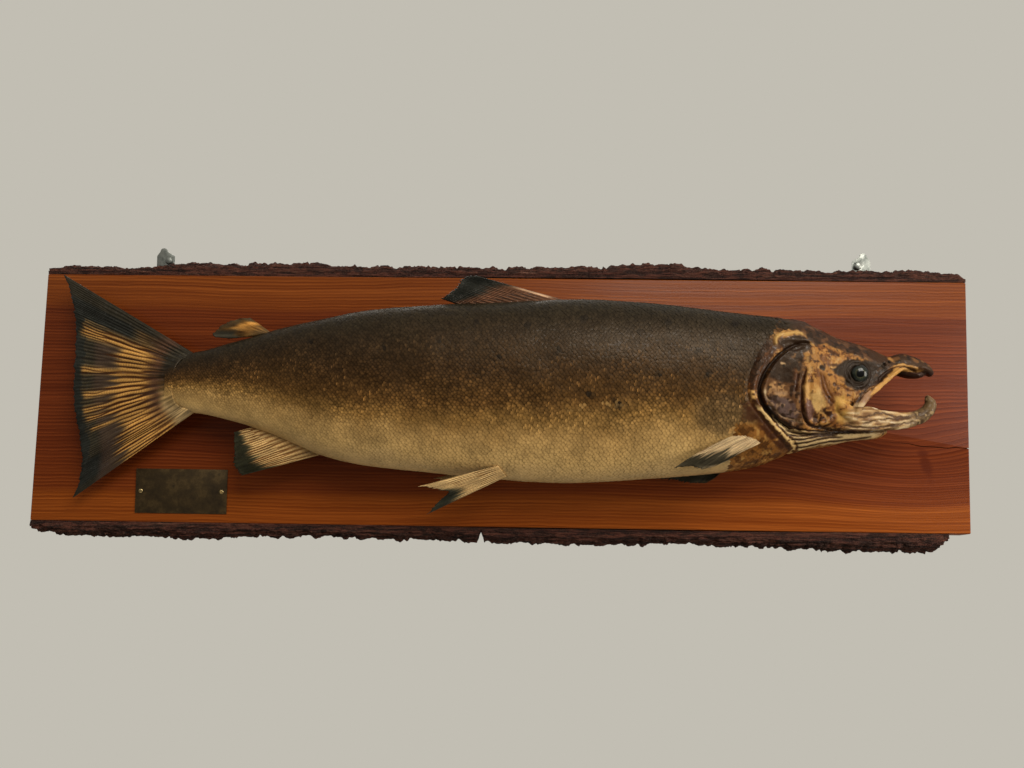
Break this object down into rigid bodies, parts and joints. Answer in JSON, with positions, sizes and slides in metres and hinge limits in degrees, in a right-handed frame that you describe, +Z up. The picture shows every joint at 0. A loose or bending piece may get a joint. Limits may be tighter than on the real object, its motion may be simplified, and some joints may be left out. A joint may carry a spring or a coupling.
{
  "type": "mounted trophy salmon on a wall board",
  "caption": "Life-size male Atlantic salmon skin mount with a hooked open jaw, in profile on a live-edge wooden wall board with bark, a blank brass plate and steel hangers.",
  "frame": {"origin": "middle of the board's back face, which lies flat against the wall", "axes": "+X from the tail to the head along the board, +Z up, -Y out of the wall towards the viewer"},
  "size_m": [1.1198, 0.1312, 0.3623],
  "materials": {
    "varnished_wood": "satin varnish over reddish-orange softwood, fine level grain",
    "bark": "rough dark flaking bark",
    "aged_brass": "dark aged brass, worn bright on the screws",
    "galvanised_steel": "dull galvanised",
    "fish_skin": "lacquered scaled skin, dark olive back, golden flank and cream belly",
    "head_skin": "lacquered bare skin, ochre with dark brown blotches",
    "fin": "lacquered rayed fin, tan rays and slate tips",
    "glass_eye": "polished glass with a dark green-brown iris"
  },
  "bodies": {
    "root": {"board": "varnished_wood", "bark_top": "bark", "bark_bottom": "bark", "name_plate": "aged_brass", "plate_screw_left": "aged_brass", "plate_screw_right": "aged_brass", "hanger_left": "galvanised_steel", "hanger_right": "galvanised_steel", "hanger_screw_left_1": "galvanised_steel", "hanger_screw_left_2": "galvanised_steel", "hanger_screw_right_1": "galvanised_steel", "hanger_screw_right_2": "galvanised_steel", "wall_screw_left": "galvanised_steel", "wall_screw_right": "galvanised_steel", "head": "head_skin", "lower_jaw": "head_skin", "throat": "head_skin", "gill_cover_right": "head_skin", "gill_cover_left": "head_skin", "lip_bone_right": "head_skin", "lip_bone_left": "head_skin", "eye_right": "glass_eye", "eye_left": "glass_eye", "trunk": "fish_skin", "tail_stem": "fish_skin", "tail_fin": "fin", "dorsal_fin": "fin", "adipose_fin": "fin", "anal_fin": "fin", "pelvic_fin_right": "fin", "pelvic_fin_left": "fin", "pectoral_fin_right": "fin", "pectoral_fin_left": "fin"}
  },
  "joints": []
}
